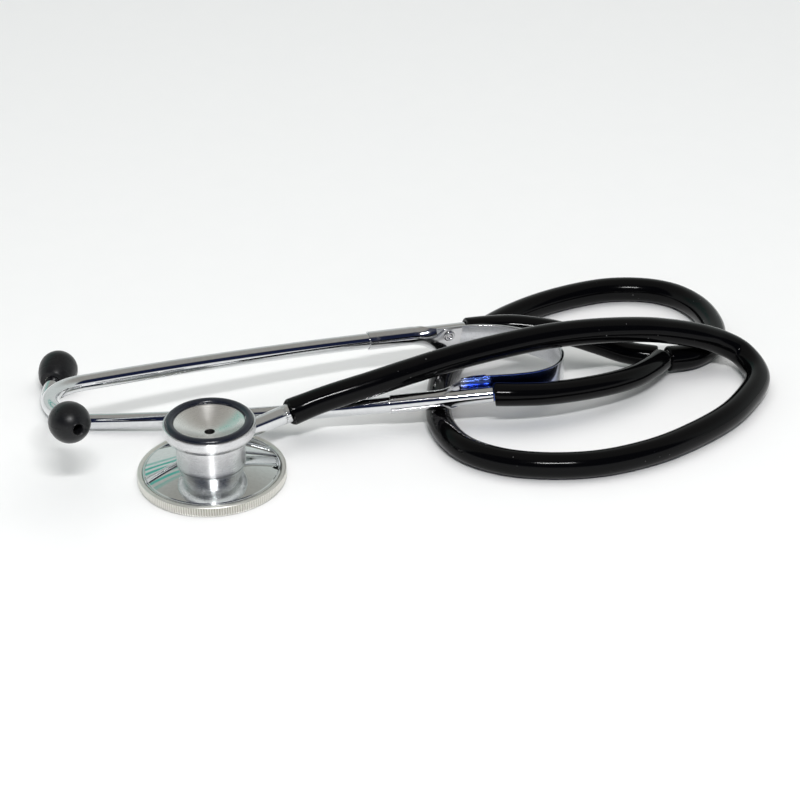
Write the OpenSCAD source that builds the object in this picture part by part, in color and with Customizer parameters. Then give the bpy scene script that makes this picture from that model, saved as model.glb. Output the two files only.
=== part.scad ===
// Stethoscope with a double-sided chest piece, lying on a table with its tubing looped.
// Origin: centre of the diaphragm's outer face, on the table. +Z up, +X along the ear tubes.

/* [Chest piece] */
// Outer diameter of the knurled rim that holds the diaphragm
rim_d = 47; // [46:0.5:48]
// Height of the knurled rim
rim_h = 3.5; // [3.3:0.1:3.6]
// Diameter of the barrel between the two sides
barrel_d = 21.7; // [21:0.1:22.5]
// Outer diameter of the bell's lip
bell_d = 29.1; // [28.6:0.1:30]
// Height of the whole chest piece
head_h = 21.6; // [21.4:0.1:22]
// Diameter of the sound hole at the bottom of the bell
bell_hole_d = 3.3; // [2.8:0.1:3.6]

/* [Stem] */
// Height of the stem's axis above the table
stem_z = 12; // [11.9:0.1:12.1]
// Direction of the stem, in degrees from +X towards +Y
stem_az = 38; // [37:0.5:39]
// Diameter of the stem inside the barrel
stem_d = 5.2; // [5:0.1:5.2]

/* [Tubing] */
// Outer diameter of the main tube
main_od = 8.4; // [8:0.1:8.4]
// Bore of the main tube
main_id = 4.8; // [4.7:0.1:5]
// Outer diameter of the two branch tubes
branch_od = 7.6; // [7.2:0.1:7.8]
// Bore of the two branch tubes
branch_id = 4.8; // [4.7:0.1:5]

/* [Ear tubes] */
// Outer diameter of the ear tubes
ear_od = 5.2; // [5:0.1:5.2]
// Bore of the ear tubes
ear_id = 4.2; // [3.8:0.1:4.4]
// Length of the gently curved stretch of an ear tube
ear_run = 99.5; // [98:0.5:101]
// How far the gently curved stretch turns inwards, in degrees
ear_run_turn = 7.5; // [7:0.5:8]
// Bend radius in front of the ear tip
ear_bend_r = 15.5; // [15:0.5:16]
// Angle of the bend in front of the ear tip, in degrees
ear_bend = 93; // [91:1:95]
// Length of the front ear tube from the left end of its clasp to its branch tube
front_tail = 33.4; // [33:0.1:33.4]
// Length of the rear ear tube from the left end of its clasp to its branch tube
rear_tail = 35; // [34.5:0.1:35]

/* [Ear tips] */
// Largest diameter of an ear tip
tip_d = 12.9; // [12:0.1:13]
// Length of an ear tip
tip_len = 13.6; // [13:0.1:14]

/* [Spring] */
// Height of the leaf spring's strip
strip_h = 9.4; // [9:0.1:9.6]
// Thickness of the leaf spring's strip
strip_t = 0.8; // [0.6:0.1:0.9]
// Height of a clasp's flat plate
plate_h = 9.7; // [9.4:0.1:9.8]

/* [Hidden] */

$fn = 96;
fit = 0.05;                 // radial running clearance
gap = 0.1;                  // clearance between faces of different bodies

// Colours
steel_colour = [0.80, 0.81, 0.83];
satin_colour = [0.78, 0.77, 0.74];
black_colour = [0.03, 0.03, 0.035];
grey_colour = [0.16, 0.17, 0.19];
white_colour = [0.86, 0.87, 0.86];

// Chest piece, radii and heights
rim_r = rim_d / 2;
rim_lip = 0.5;              // thickness of the rim's inward lip
rim_lip_r = 20.2;           // inner radius of that lip
seat_r = 22;                // radius of the rim's bore, which the plate fits
face_t = 0.55;              // thickness of the diaphragm's raised face
diaphragm_t = 0.9;          // height of the diaphragm's clamped edge
gasket_top = 1.5;
plate_top = 3.6;
dome_r = 21.2;              // where the plate starts to rise to the barrel
dome_top_r = 10.2;
dome_curve = 1.2;           // 1 makes the rise a cone, more rounds its outer edge
seam_z = 6;                 // seam between the plate and the barrel
spigot_r = 7;
spigot_top = 8.2;
barrel_r = barrel_d / 2;
crease_z = 15.2;            // where the barrel widens to the bell
lip_z = 18.2;               // underside of the bell's lip band
band_top = 20.2;
bell_r = bell_d / 2;
ring_out = 14;              // black ring on the bell's lip
ring_in = 11.1;
ring_seat = 19.9;
dish_bottom = 16.8;
hole_r = bell_hole_d / 2;
duct_r = 1.5;               // sound hole down to the diaphragm

// Stem, distances along its axis from the chest piece's axis
stem_r = stem_d / 2;
bore_r = stem_r + fit;
stem_in = -6.5;             // closed inner end
neck_s = 11.4;              // where the stem starts to widen outside the barrel
groove_s = 27.6;
groove_w = 0.7;
mouth_s = 30.8;             // where the main tube starts
stem_out = 35;
stem_out_r = 3.05;
barb_r = 2.2;
air_r = 1.3;                // sound passage
clip_s = 8;                 // centre of the retaining clip
clip_w = 1;
clip_out = 3;
clip_in = 2.15;
detent_s = -4.4;
ball_r = 0.8;
pocket_r = 0.85;
pocket_depth = 3.4;

// Ear tube frames: the left end of each clasp, and the tube's direction there
front_pos = [56.5, 25.9, 10.4];
front_az = 1;
front_el = -4.8;
front_roll = 8.5;
rear_pos = [49.2, 57, 16.7];
rear_az = 20.5;
rear_el = 4.8;
rear_roll = -6;
rear_lean = 8;             // how far the rear clasp's plate leans inwards at its top, in degrees
ear_end = 4;                // straight end between the bend and the ear tip
ear_grip = 6;               // length of tube inside the ear tip
ear_r = ear_od / 2;
bore_ear_r = ear_id / 2;
run_r = ear_run / (ear_run_turn * PI / 180);
insert_len = 9;             // threaded insert inside an ear tip
insert_flange = 1.2;

// Clasps
sleeve_r = ear_r + fit;
sleeve_t = 0.45;
sleeve_len = 20;            // wrapped part
slot_low = 0.4;             // open slot along the sleeve, below and above the tube's axis
slot_high = 1.9;
strip_in = ear_r + 1.1;     // inner face of the spring's strip, from the tube's axis
plate_y = strip_in + strip_t + 0.15;
plate_t = 0.6;              // the flat plate lies on the strip's outer face
web_h = 4;                  // bar that carries the plate beside the sleeve
web_from = 12;
plate_start = 18;           // where the sleeve starts to open into the plate
plate_from = 27;            // where the plate has its full height
plate_to = 31.5;
rivet_x = 27;
rivet_r = 1.2;
rivet_head_r = 1.9;
rivet_head_t = 0.5;
rear_rivet_up = 2;          // how far the rear rivet sits above the middle of its plate

// Route of the main tube's centre, from the stem to the Y connector
main_path = [
    [24.3, 19, 12], [28.6, 20.6, 13], [34, 22, 14.5], [41, 23.7, 16.1], [50, 26.4, 17.6],
    [62, 30.4, 19.6], [76, 35.2, 21.6], [92, 40.6, 22.9], [108, 46.4, 23.1], [124, 51.1, 22.3],
    [139.5, 55.8, 20], [150, 59, 17.3], [160, 61.5, 14], [167.5, 63.3, 10.5], [174, 62.6, 7],
    [177.8, 56, 4.9], [178, 48, 4.3], [173.5, 37.5, 4.2], [165.7, 25.7, 4.2], [154, 14.5, 4.2],
    [140, 4.8, 4.2], [123, -1.8, 4.2], [106, -3, 4.2], [91, 0.3, 4.2], [79.5, 8.5, 4.2],
    [73.2, 22, 4.2], [72.2, 38, 4.2], [74.3, 55, 4.2], [80.2, 70.5, 4.2], [90, 87, 4.2],
    [102, 98.8, 4.2], [116, 107.8, 4.2], [132, 113.8, 4.2], [146, 113.8, 4.2], [157, 108.8, 4.2],
    [164.5, 98.5, 4.2], [167.5, 85, 4.2], [165.5, 73, 4.2], [158.5, 65, 4.6], [149.6, 61.9, 5.2]
];
// Routes of the branch tubes, from the ear tubes to the Y connector
front_path = [
    [90, 26.5, 13.2], [97, 26.6, 12.9], [105.5, 28, 12.2], [114, 31, 11.3], [122.5, 34.7, 10.5],
    [130.5, 39, 9.8], [137.5, 44.4, 9], [143, 51, 8.2], [147.2, 56.6, 7.6]
];
rear_path = [
    [82, 69.1, 13.9], [89.5, 71.3, 13.5], [98.5, 72.2, 13.2], [109, 71, 12.3], [119, 68.7, 10.8],
    [128, 66.4, 8.6], [136, 65.1, 6.2], [144.3, 65, 4.4]
];
tube_sides = 10;
ear_sides = 16;
main_steps = 2;             // rings to each stretch of the main route
branch_steps = 2;
// Middle of the Y connector
y_mid = [147, 61.5, 5.8];
y_leg_r = 1.9;
y_hub_r = 3.2;
y_grip = 4;                 // how far each leg reaches into its tube

// Point beside an ear tube's axis, x along its clasp, y across the tube, in a clasp rolled by lean
function beside(pos, az, el, lean, x, y) =
    pos + x * [cos(el) * cos(az), cos(el) * sin(az), -sin(el)]
        + y * cos(lean) * [-sin(az), cos(az), 0] + [0, 0, y * sin(lean)];

// Middle line of the leaf spring's strip: along both clasp plates, and between them these points.
// The last number of each is how far the strip's top leans inwards, in degrees.
strip_y = strip_in + strip_t / 2;
plate_stations = [23, 28, 33];
strip_bow = [
    [88, 65.4, 13.2, 8], [96, 64.2, 13.1, 7], [104, 60.4, 13, 5], [110.5, 54, 13, 3], [113.2, 46, 12.9, 0],
    [111.2, 38.8, 12.7, 0], [105.5, 34.4, 12.6, 0], [97.5, 32, 12.8, 0]
];
strip_path = concat(
    [for (x = plate_stations) concat(beside(rear_pos, rear_az, rear_el, rear_lean, x, -strip_y), rear_lean)],
    strip_bow,
    [for (k = [2, 1, 0]) concat(beside(front_pos, front_az, front_el, 0, plate_stations[k], strip_y), 0)]
);
strip_steps = 4;

// ---- Curves ----

// Point at t (0 to 1) on the smooth curve between b and c, with neighbours a and d
function curve_point(a, b, c, d, t) =
    0.5 * (2 * b + (c - a) * t + (2 * a - 5 * b + 4 * c - d) * t * t
           + (3 * b - a - 3 * c + d) * t * t * t);

// Route point i, continued straight beyond both ends
function route_point(path, i) =
    i < 0 ? 2 * path[0] - path[1]
    : i >= len(path) ? 2 * path[len(path) - 1] - path[len(path) - 2]
    : path[i];

// Smooth route through the points, with the given number of steps to each stretch
function smooth_route(path, steps) = concat(
    [for (i = [0 : len(path) - 2], k = [0 : steps - 1])
        curve_point(route_point(path, i - 1), path[i], path[i + 1], route_point(path, i + 2), k / steps)],
    [path[len(path) - 1]]
);

function unit(v) = v / norm(v);

// Direction of a route at point i; the first and last follow the given directions where stated
function direction(route, i, first, last) =
    i == 0 && !is_undef(first) ? first
    : i == len(route) - 1 && !is_undef(last) ? last
    : unit(route_point(route, i + 1) - route_point(route, i - 1));

// Points of one ring around the route at point i
function ring(route, i, r, sides, first, last) =
    let (
        along = direction(route, i, first, last),
        side = unit(cross([0, 0, 1], along)),
        up = cross(along, side)
    )
    [for (k = [0 : sides - 1])
        let (a = 360 * k / sides) route[i] + r * (cos(a) * side + sin(a) * up)];

// Radius of a regular polygon's corners whose sides stand at radius r on average
function corner_r(r) = r / sqrt(cos(180 / tube_sides));

// Hollow tube swept along a route, with square-cut ends
module hollow_tube(route, outer_r, inner_r, sides, first, last) {
    count = len(route);
    points = concat(
        [for (i = [0 : count - 1]) each ring(route, i, outer_r, sides, first, last)],
        [for (i = [0 : count - 1]) each ring(route, i, inner_r, sides, first, last)]
    );
    inner_start = count * sides;
    last_ring = (count - 1) * sides;
    outer_faces = [
        for (i = [0 : count - 2], k = [0 : sides - 1])
            let (a = i * sides + k, b = i * sides + (k + 1) % sides)
                each [[a, a + sides, b], [b, a + sides, b + sides]]
    ];
    inner_faces = [for (f = outer_faces) [f[0] + inner_start, f[2] + inner_start, f[1] + inner_start]];
    start_faces = [
        for (k = [0 : sides - 1])
            let (a = k, b = (k + 1) % sides)
                each [[a, b, a + inner_start], [b, b + inner_start, a + inner_start]]
    ];
    end_faces = [
        for (k = [0 : sides - 1])
            let (a = last_ring + k, b = last_ring + (k + 1) % sides)
                each [[a, a + inner_start, b], [b, a + inner_start, b + inner_start]]
    ];
    polyhedron(points = points, faces = concat(outer_faces, inner_faces, start_faces, end_faces), convexity = 10);
}

// Place of a route point that carries a lean as its last number
function place(p) = [p[0], p[1], p[2]];

// Strip swept along a route whose points carry their lean: four corners to each ring
module strip_sweep(route, thickness, height) {
    count = len(route);
    middle = [for (p = route) place(p)];
    corners = [
        for (i = [0 : count - 1])
            let (
                along = direction(middle, i),
                across = unit([along[1], -along[0], 0]),
                lean = route[i][3],
                up = (sin(lean) * across + cos(lean) * [0, 0, 1]) * height / 2,
                flat_side = (cos(lean) * across - sin(lean) * [0, 0, 1]) * thickness / -2
            )
                each [middle[i] + flat_side + up, middle[i] - flat_side + up,
                      middle[i] - flat_side - up, middle[i] + flat_side - up]
    ];
    sides = [
        for (i = [0 : count - 2], k = [0 : 3])
            let (a = i * 4 + k, b = i * 4 + (k + 1) % 4)
                each [[a, a + 4, b], [b, a + 4, b + 4]]
    ];
    last_ring = (count - 1) * 4;
    caps = [[0, 1, 2], [0, 2, 3],
            [last_ring + 2, last_ring + 1, last_ring], [last_ring + 3, last_ring + 2, last_ring]];
    polyhedron(points = corners, faces = concat(sides, caps), convexity = 6);
}

// ---- Chest piece ----

// Places children on the stem's axis, with +Z along it
module on_stem() {
    translate([0, 0, stem_z]) rotate([0, 90, stem_az]) children();
}

module diaphragm_ring() {
    color(satin_colour)
        rotate_extrude($fn = 160)
            polygon([
                [rim_lip_r, 0], [rim_r - 0.3, 0], [rim_r, 0.3], [rim_r, rim_h - 0.25],
                [rim_r - 0.25, rim_h], [seat_r + 0.3, rim_h], [seat_r, rim_h - 0.3],
                [seat_r, rim_lip], [rim_lip_r, rim_lip]
            ]);
}

module diaphragm() {
    face_r = rim_lip_r - gap;
    color(white_colour) {
        cylinder(h = face_t, r = face_r);
        translate([0, 0, rim_lip]) cylinder(h = diaphragm_t - rim_lip, r = seat_r - gap);
    }
}

module diaphragm_gasket() {
    color(grey_colour)
        translate([0, 0, diaphragm_t])
            rotate_extrude()
                translate([rim_lip_r, 0]) square([seat_r - gap - rim_lip_r, gasket_top - diaphragm_t]);
}

module diaphragm_plate() {
    dome_steps = 10;
    plate_r = seat_r - fit;
    chamber_r = rim_lip_r - 0.6;
    chamber_top = gasket_top + 1;
    color(steel_colour)
        rotate_extrude($fn = 160)
            polygon(concat(
                [[duct_r, chamber_top], [chamber_r, gasket_top], [plate_r, gasket_top],
                 [plate_r, rim_h - 0.3], [plate_r - 0.4, plate_top]],
                [for (k = [0 : dome_steps])
                    let (f = 1 - k / dome_steps)
                        [dome_top_r + (dome_r - dome_top_r) * f, seam_z - (seam_z - plate_top) * pow(f, dome_curve)]],
                [[spigot_r, seam_z], [spigot_r, spigot_top], [duct_r, spigot_top]]
            ));
}

module bell_barrel() {
    bowl_steps = 8;
    dish_steps = 10;
    socket_r = spigot_r + 0.02;
    bowl_h = lip_z - crease_z;
    dish_top = ring_seat + 0.3;
    clip_groove_r = clip_out + gap;
    dent_r = 0.6;
    color(steel_colour)
        difference() {
            rotate_extrude($fn = 128)
                polygon(concat(
                    [[duct_r, spigot_top], [socket_r, spigot_top], [socket_r, seam_z], [barrel_r - 0.2, seam_z],
                     [barrel_r, seam_z + 0.2]],
                    [for (k = [0 : bowl_steps])
                        let (a = 90 * k / bowl_steps)
                            [barrel_r + (bell_r - barrel_r) * sin(a), crease_z + bowl_h * (1 - cos(a))]],
                    [[bell_r, band_top], [bell_r - 0.3, band_top + 0.3], [ring_out, band_top + 0.3],
                     [ring_out, ring_seat], [ring_in, ring_seat]],
                    [for (k = [0 : dish_steps])
                        let (f = 1 - k / dish_steps)
                            [hole_r + (ring_in - 0.1 - hole_r) * f,
                             dish_bottom + (dish_top - dish_bottom) * pow(f, 1.7)]],
                    [[hole_r, stem_z], [duct_r, stem_z]]
                ));
            on_stem() {
                translate([0, 0, stem_in - gap]) cylinder(h = barrel_r * 2, r = bore_r);
                translate([0, 0, clip_s - clip_w / 2 - gap]) cylinder(h = clip_w + 2 * gap, r = clip_groove_r);
                for (side = [-1, 1])
                    translate([side * bore_r, 0, detent_s])
                        rotate([0, 90, 0]) cylinder(h = 0.8, r = dent_r, center = true);
            }
        }
}

module bell_ring() {
    mid = (ring_in + ring_out) / 2;
    half = (ring_out - ring_in) / 2;
    bead_steps = 8;
    shoulder = band_top + 0.3;
    color(black_colour)
        rotate_extrude($fn = 128)
            polygon(concat(
                [[ring_in, ring_seat], [ring_out, ring_seat]],
                [for (k = [0 : bead_steps])
                    let (a = 180 * k / bead_steps)
                        [mid + half * cos(a), shoulder + (head_h - shoulder) * sin(a)]]
            ));
}

module stem() {
    groove_depth = 0.25;
    color(steel_colour)
        difference() {
            on_stem()
                rotate_extrude()
                    polygon([
                        [0, stem_in], [stem_r - 0.3, stem_in], [stem_r, stem_in + 0.3],
                        [stem_r, clip_s - clip_w / 2], [clip_in, clip_s - clip_w / 2],
                        [clip_in, clip_s + clip_w / 2], [stem_r, clip_s + clip_w / 2],
                        [stem_r, neck_s], [stem_out_r - 0.05, groove_s],
                        [stem_out_r - groove_depth, groove_s + groove_w * 0.3],
                        [stem_out_r - groove_depth, groove_s + groove_w * 0.7],
                        [stem_out_r, groove_s + groove_w], [stem_out_r, mouth_s],
                        [barb_r, mouth_s], [barb_r, stem_out], [0, stem_out]
                    ]);
            on_stem() {
                translate([0, 0, -air_r]) cylinder(h = stem_out + 2 * air_r, r = air_r);
                translate([-stem_r - 1, 0, 0]) rotate([0, 90, 0]) cylinder(h = stem_r + 1, r = air_r);
                translate([-stem_r - 1, 0, detent_s])
                    rotate([0, 90, 0]) cylinder(h = pocket_depth + 1, r = pocket_r);
            }
        }
}

// Split ring that keeps the stem in the barrel
module stem_clip() {
    color(grey_colour)
        on_stem()
            translate([0, 0, clip_s - clip_w / 2 + fit])
                difference() {
                    cylinder(h = clip_w - 2 * fit, r = clip_out);
                    translate([0, 0, -1]) cylinder(h = clip_w + 2, r = clip_in + 0.02);
                    translate([0, -0.9, -1]) cube([clip_out + 1, 1.8, clip_w + 2]);
                }
}

module detent_ball() {
    color(steel_colour)
        on_stem() translate([-stem_r + ball_r + 0.02, 0, detent_s]) sphere(r = ball_r);
}

// Coil spring under the ball, as closed rings of wire
module detent_spring() {
    coils = 4;
    wire_r = 0.14;
    seat_x = -stem_r + pocket_depth - wire_r - 0.03;
    free = pocket_depth - 2 * ball_r - 4 * wire_r;
    color(steel_colour)
        on_stem()
            for (k = [0 : coils - 1])
                translate([seat_x - free * k / (coils - 1), 0, detent_s])
                    rotate([0, 90, 0])
                        rotate_extrude($fn = 48) translate([0.55, 0]) circle(r = wire_r, $fn = 24);
}

// ---- Tubing ----

stem_dir = [cos(stem_az), sin(stem_az), 0];
front_dir = [cos(front_el) * cos(front_az), cos(front_el) * sin(front_az), -sin(front_el)];
rear_dir = [cos(rear_el) * cos(rear_az), cos(rear_el) * sin(rear_az), -sin(rear_el)];

module main_tube() {
    color(black_colour)
        hollow_tube(smooth_route(main_path, main_steps), corner_r(main_od / 2), corner_r(main_id / 2),
                    tube_sides, stem_dir);
}

module front_branch_tube() {
    color(black_colour)
        hollow_tube(smooth_route(front_path, branch_steps), corner_r(branch_od / 2), corner_r(branch_id / 2),
                    tube_sides, front_dir);
}

module rear_branch_tube() {
    color(black_colour)
        hollow_tube(smooth_route(rear_path, branch_steps), corner_r(branch_od / 2), corner_r(branch_id / 2),
                    tube_sides, rear_dir);
}

// Y connector: a round middle, and a straight leg that reaches a little way into each tube
module y_connector() {
    paths = [main_path, front_path, rear_path];
    color(grey_colour)
        union() {
            translate(y_mid) sphere(r = y_hub_r, $fn = 48);
            for (k = [0 : 2]) {
                mouth = paths[k][len(paths[k]) - 1];
                leg = mouth - y_mid;
                translate(y_mid)
                    rotate([0, acos(leg[2] / norm(leg)), atan2(leg[1], leg[0])])
                        cylinder(h = norm(leg) + y_grip, r = y_leg_r, $fn = 48);
            }
        }
}

// ---- Ear tubes and spring ----

// Places children in an ear tube's frame: +X along the clasp towards the branch tube, Z upright
module front_frame(roll = 0) {
    translate(front_pos) rotate([roll, front_el, front_az]) children();
}

module rear_frame(roll = 0) {
    translate(rear_pos) rotate([roll, rear_el, rear_az]) children();
}

// Route of an ear tube that turns towards +Y, with its clasp end at the origin and a tail on +X
function ear_route(tail) =
    let (
        run_steps = 8,
        bend_steps = 12,
        heading = [-cos(ear_run_turn), sin(ear_run_turn), 0],
        inward = [sin(ear_run_turn), cos(ear_run_turn), 0],
        run_end = [-run_r * sin(ear_run_turn), run_r * (1 - cos(ear_run_turn)), 0],
        bend_end = run_end + ear_bend_r * (sin(ear_bend) * heading + (1 - cos(ear_bend)) * inward),
        out = cos(ear_bend) * heading + sin(ear_bend) * inward
    )
    concat(
        [[tail, 0, 0]],
        [for (k = [0 : run_steps])
            let (a = ear_run_turn * k / run_steps) [-run_r * sin(a), run_r * (1 - cos(a)), 0]],
        [for (k = [1 : bend_steps])
            let (a = ear_bend * k / bend_steps)
                run_end + ear_bend_r * (sin(a) * heading + (1 - cos(a)) * inward)],
        [bend_end + (ear_end + ear_grip) * out]
    );

// Places children at the open end of an ear tube that turns towards +Y, with +X pointing out of it
module at_ear_end() {
    translate([0, run_r, 0])
        rotate([0, 0, -ear_run_turn])
            translate([0, ear_bend_r - run_r, 0])
                rotate([0, 0, -ear_bend])
                    translate([-ear_end, -ear_bend_r, 0])
                        rotate([0, 0, 180]) children();
}

module ear_tube_shape(tail) {
    hollow_tube(ear_route(tail), ear_r, bore_ear_r, ear_sides);
}

// Ear tip on the tube's end: round at the front, drawn in at the base
module ear_tip_shape() {
    steps = 14;
    r = tip_d / 2;
    base_r = 3.9;
    seat = insert_len + 0.2;
    hole_r_tip = 1.5;
    socket_r = ear_r + 1.1 + 0.02;
    flange_r = base_r + 0.02;
    at_ear_end()
        rotate([0, 90, 0])
            rotate_extrude($fn = 64)
                polygon(concat(
                    [[socket_r, insert_flange], [socket_r, seat], [hole_r_tip, seat], [hole_r_tip, tip_len - 0.3]],
                    [for (k = [0 : steps])
                        let (a = 78 - 128 * k / steps)
                            [max(r * cos(a), base_r), tip_len - r + (r - 0.02) * sin(a)]],
                    [[flange_r, insert_flange]]
                ));
}

// Threaded insert that joins an ear tip to its tube
module tip_insert_shape() {
    at_ear_end()
        rotate([0, 90, 0])
            difference() {
                union() {
                    cylinder(h = insert_flange, r = 4.1);
                    cylinder(h = insert_len, r = ear_r + 1.1);
                }
                translate([0, 0, -1]) cylinder(h = insert_len + 2, r = ear_r + 0.01);
            }
}

module front_ear_tube() {
    color(steel_colour) front_frame(front_roll) ear_tube_shape(front_tail);
}

module front_ear_tip() {
    color(grey_colour) front_frame(front_roll) ear_tip_shape();
}

module front_tip_insert() {
    color(grey_colour) front_frame(front_roll) tip_insert_shape();
}

module rear_ear_tube() {
    color(steel_colour) rear_frame(rear_roll) mirror([0, 1, 0]) ear_tube_shape(rear_tail);
}

module rear_ear_tip() {
    color(grey_colour) rear_frame(rear_roll) mirror([0, 1, 0]) ear_tip_shape();
}

module rear_tip_insert() {
    color(grey_colour) rear_frame(rear_roll) mirror([0, 1, 0]) tip_insert_shape();
}

// Clasp whose plate is on its +Y side: a sleeve rolled round the tube that opens into a plate
module clasp_shape(rivet_up = 0) {
    wrap_r = sleeve_r + sleeve_t;
    difference() {
        union() {
            rotate([0, 90, 0]) cylinder(h = sleeve_len, r = wrap_r, $fn = 64);
            translate([web_from, 0, -web_h / 2]) cube([plate_start - web_from, plate_y + plate_t / 2, web_h]);
            translate([0, plate_y, 0])
                rotate([-90, 0, 0])
                    linear_extrude(plate_t)
                        polygon([
                            [web_from, -web_h / 2], [plate_start, -wrap_r + 0.6], [plate_from, -plate_h / 2],
                            [plate_to, -plate_h / 2], [plate_to, plate_h / 2], [plate_from, plate_h / 2],
                            [plate_start, wrap_r - 0.6], [web_from, web_h / 2]
                        ]);
        }
        translate([-1, 0, 0]) rotate([0, 90, 0]) cylinder(h = rear_tail + 2, r = sleeve_r, $fn = 64);
        translate([-1, -wrap_r - 1, -slot_low]) cube([sleeve_len + 2, wrap_r, slot_low + slot_high]);
        translate([rivet_x, plate_y - 1, rivet_up])
            rotate([-90, 0, 0]) cylinder(h = plate_t + 2, r = rivet_r + fit, $fn = 32);
    }
}

// Rivet through a clasp's plate and the spring's strip
module rivet_shape(up = 0) {
    shank = plate_y + plate_t - strip_in;
    translate([rivet_x, strip_in, up])
        rotate([-90, 0, 0]) {
            cylinder(h = shank, r = rivet_r, $fn = 32);
            translate([0, 0, shank]) cylinder(h = rivet_head_t, r = rivet_head_r, $fn = 32);
        }
}

module front_clasp() {
    color(steel_colour) front_frame() clasp_shape();
}

module front_rivet() {
    color(steel_colour) front_frame() rivet_shape();
}

module rear_clasp() {
    color(steel_colour) rear_frame(rear_lean) mirror([0, 1, 0]) clasp_shape(rear_rivet_up);
}

module rear_rivet() {
    color(steel_colour) rear_frame(rear_lean) mirror([0, 1, 0]) rivet_shape(rear_rivet_up);
}

// Hole for a rivet in the spring's strip
module rivet_hole(up = 0) {
    translate([rivet_x, strip_in - 1, up]) rotate([-90, 0, 0]) cylinder(h = 3, r = rivet_r + 2 * fit, $fn = 32);
}

module leaf_spring() {
    color(satin_colour)
        difference() {
            strip_sweep(smooth_route(strip_path, strip_steps), strip_t, strip_h);
            front_frame() rivet_hole();
            rear_frame(rear_lean) mirror([0, 1, 0]) rivet_hole(rear_rivet_up);
        }
}

diaphragm_ring();
diaphragm();
diaphragm_gasket();
diaphragm_plate();
bell_barrel();
bell_ring();
stem();
stem_clip();
detent_ball();
detent_spring();
main_tube();
y_connector();
front_branch_tube();
rear_branch_tube();
leaf_spring();
front_clasp();
front_rivet();
rear_clasp();
rear_rivet();
front_ear_tube();
front_ear_tip();
front_tip_insert();
rear_ear_tube();
rear_ear_tip();
rear_tip_insert();
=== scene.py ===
"""Stethoscope lying on a pale table.

Shapes and places are in millimetres until a mesh is made. Materials, lights and bevels are in metres.
"""

import math

import bpy
from mathutils import Euler, Matrix, Vector


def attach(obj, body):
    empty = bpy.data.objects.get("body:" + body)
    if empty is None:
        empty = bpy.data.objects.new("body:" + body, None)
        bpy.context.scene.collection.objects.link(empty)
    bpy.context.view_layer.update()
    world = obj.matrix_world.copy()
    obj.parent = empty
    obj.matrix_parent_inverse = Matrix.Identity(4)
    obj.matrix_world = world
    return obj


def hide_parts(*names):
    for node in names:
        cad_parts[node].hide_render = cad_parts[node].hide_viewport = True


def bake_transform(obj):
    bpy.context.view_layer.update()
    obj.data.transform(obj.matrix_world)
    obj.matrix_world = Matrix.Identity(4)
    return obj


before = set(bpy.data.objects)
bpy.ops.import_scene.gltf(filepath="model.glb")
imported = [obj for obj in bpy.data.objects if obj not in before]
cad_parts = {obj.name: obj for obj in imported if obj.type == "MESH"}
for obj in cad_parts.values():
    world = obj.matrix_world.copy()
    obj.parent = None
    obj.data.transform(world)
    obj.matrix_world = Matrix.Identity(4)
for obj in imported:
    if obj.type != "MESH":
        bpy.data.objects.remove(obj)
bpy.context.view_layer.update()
MM = 0.001

# ---- Sizes that several pieces share ----

# Tubing: outer radii of the main tube and of the branches, and the radius of their bore
MAIN_R, BRANCH_R, BORE_R = 4.2, 3.8, 2.4
# Chest piece: the rim's radius, and its knurl's count, depth and top
RIM_R, KNURLS, KNURL_DEPTH, KNURL_TOP = 23.5, 180, 0.34, 3.2
BARREL_R, HOLE_R = 10.85, 1.5
STEM_AZ, STEM_Z = math.radians(38), 12
# Directions in which the clasps point at their branch tubes, in degrees
FRONT_AZ, FRONT_EL = 1, -4.8
REAR_AZ, REAR_EL = 20.5, 4.8

# ---- Camera ----

CAMERA_AT = (59.6, -672.9, 420.3)
CAMERA_PITCH, CAMERA_ROLL = 30.30, -0.94
CAMERA_LENS, CAMERA_SENSOR = 113.04, 36
camera_data = bpy.data.cameras.new("camera")
camera_data.lens = CAMERA_LENS
camera_data.sensor_width = CAMERA_SENSOR
camera_data.clip_end = 20
camera = bpy.data.objects.new("camera", camera_data)
bpy.context.scene.collection.objects.link(camera)
camera.matrix_world = (
    Matrix.Translation(Vector(CAMERA_AT) * MM)
    @ Matrix.Rotation(math.radians(90 - CAMERA_PITCH), 4, "X")
    @ Matrix.Rotation(math.radians(CAMERA_ROLL), 4, "Z")
)
bpy.context.scene.camera = camera

# ---- Mesh helpers ----


def add_mesh(name, points, faces, uvs=None, smooth_angle=40):
    """A mesh object from points in millimetres. uvs holds one (u, v) for each corner of each face."""
    mesh = bpy.data.meshes.new(name)
    mesh.from_pydata([Vector(p) * MM for p in points], [], faces)
    if uvs:
        layer = mesh.uv_layers.new(name="UVMap")
        flat = [value for uv in uvs for value in uv]
        layer.data.foreach_set("uv", flat)
    mesh.shade_smooth()
    mesh.set_sharp_from_angle(angle=math.radians(smooth_angle))
    mesh.update()
    obj = bpy.data.objects.new(name, mesh)
    bpy.context.scene.collection.objects.link(obj)
    return obj


def rounded(corners, steps=4):
    """A closed outline from (x, y, radius) corners, each cut off by a curve of about that radius."""
    outline = []
    count = len(corners)
    for i, (x, y, radius) in enumerate(corners):
        here = Vector((x, y))
        if radius <= 0:
            outline.append(here)
            continue
        before = Vector(corners[i - 1][:2]) - here
        after = Vector(corners[(i + 1) % count][:2]) - here
        reach = min(radius, before.length * 0.49, after.length * 0.49)
        start = here + before.normalized() * reach
        end = here + after.normalized() * reach
        for k in range(steps + 1):
            t = k / steps
            outline.append(start * (1 - t) ** 2 + here * 2 * t * (1 - t) + end * t * t)
    return outline


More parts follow.
